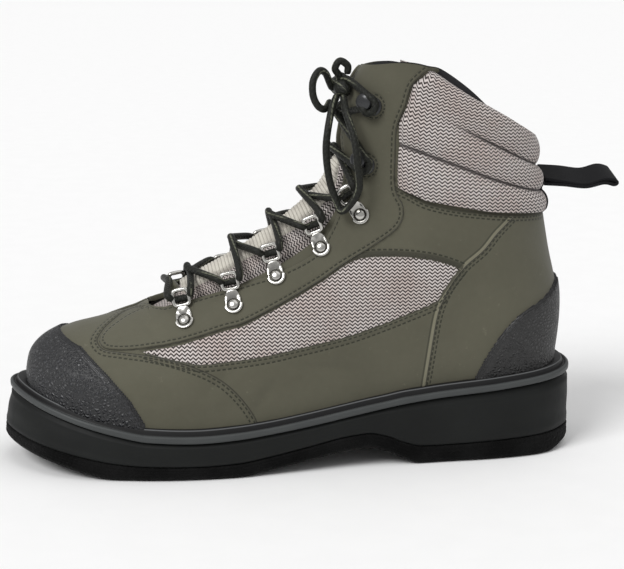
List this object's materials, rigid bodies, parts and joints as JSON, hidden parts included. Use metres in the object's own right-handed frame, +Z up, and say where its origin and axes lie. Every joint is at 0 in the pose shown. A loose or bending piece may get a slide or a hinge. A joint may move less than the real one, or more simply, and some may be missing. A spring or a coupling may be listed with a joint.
{
  "type": "wading boot",
  "caption": "Lace-up ankle-high wading boot for the left foot, with a hollow leather and mesh upper, padded collar and thick felt sole.",
  "frame": {"origin": "on the ground under the middle of the heel", "axes": "+Z up, toe towards -X, outer side of the left foot towards -Y"},
  "size_m": [0.3504, 0.1098, 0.2248],
  "materials": {
    "felt": "dense wool felt",
    "hook_metal": "black lacquer",
    "lace": "round braid with flecks",
    "lining": "knitted lining",
    "mesh": "open knit mesh",
    "nickel": "nickel plate",
    "nubuck": "olive nubuck",
    "pebbled": "pebbled, semi-gloss",
    "rubber": "black, matt",
    "webbing": "woven webbing"
  },
  "bodies": {
    "root": {"back_strip": "webbing", "collar": "mesh", "d_ring_lateral_1": "nickel", "d_ring_lateral_2": "nickel", "d_ring_lateral_3": "nickel", "d_ring_lateral_4": "nickel", "d_ring_lateral_5": "nickel", "d_ring_medial_1": "nickel", "d_ring_medial_2": "nickel", "d_ring_medial_3": "nickel", "d_ring_medial_4": "nickel", "d_ring_medial_5": "nickel", "eyestay": "nubuck", "heel_counter": "pebbled", "hook_lateral_1": "hook_metal", "hook_lateral_2": "hook_metal", "hook_medial_1": "hook_metal", "hook_medial_2": "hook_metal", "insole": "lining", "lace_crossing_1": "lace", "lace_crossing_2": "lace", "lace_crossing_3": "lace", "lace_crossing_4": "lace", "lace_crossing_5": "lace", "lace_crossing_6": "lace", "lace_knot": "lace", "lace_loop_long": "lace", "lace_loop_small": "lace", "lace_loop_top": "lace", "midsole": "rubber", "outsole_felt": "felt", "pull_loop": "webbing", "ring_plate_lateral_1": "nickel", "ring_plate_lateral_2": "nickel", "ring_plate_lateral_3": "nickel", "ring_plate_lateral_4": "nickel", "ring_plate_lateral_5": "nickel", "ring_plate_medial_1": "nickel", "ring_plate_medial_2": "nickel", "ring_plate_medial_3": "nickel", "ring_plate_medial_4": "nickel", "ring_plate_medial_5": "nickel", "toe_cap": "pebbled", "tongue": "mesh", "tongue_ridge": "mesh", "tongue_tab": "nubuck", "upper": "nubuck", "welt": "rubber"}
  },
  "joints": []
}
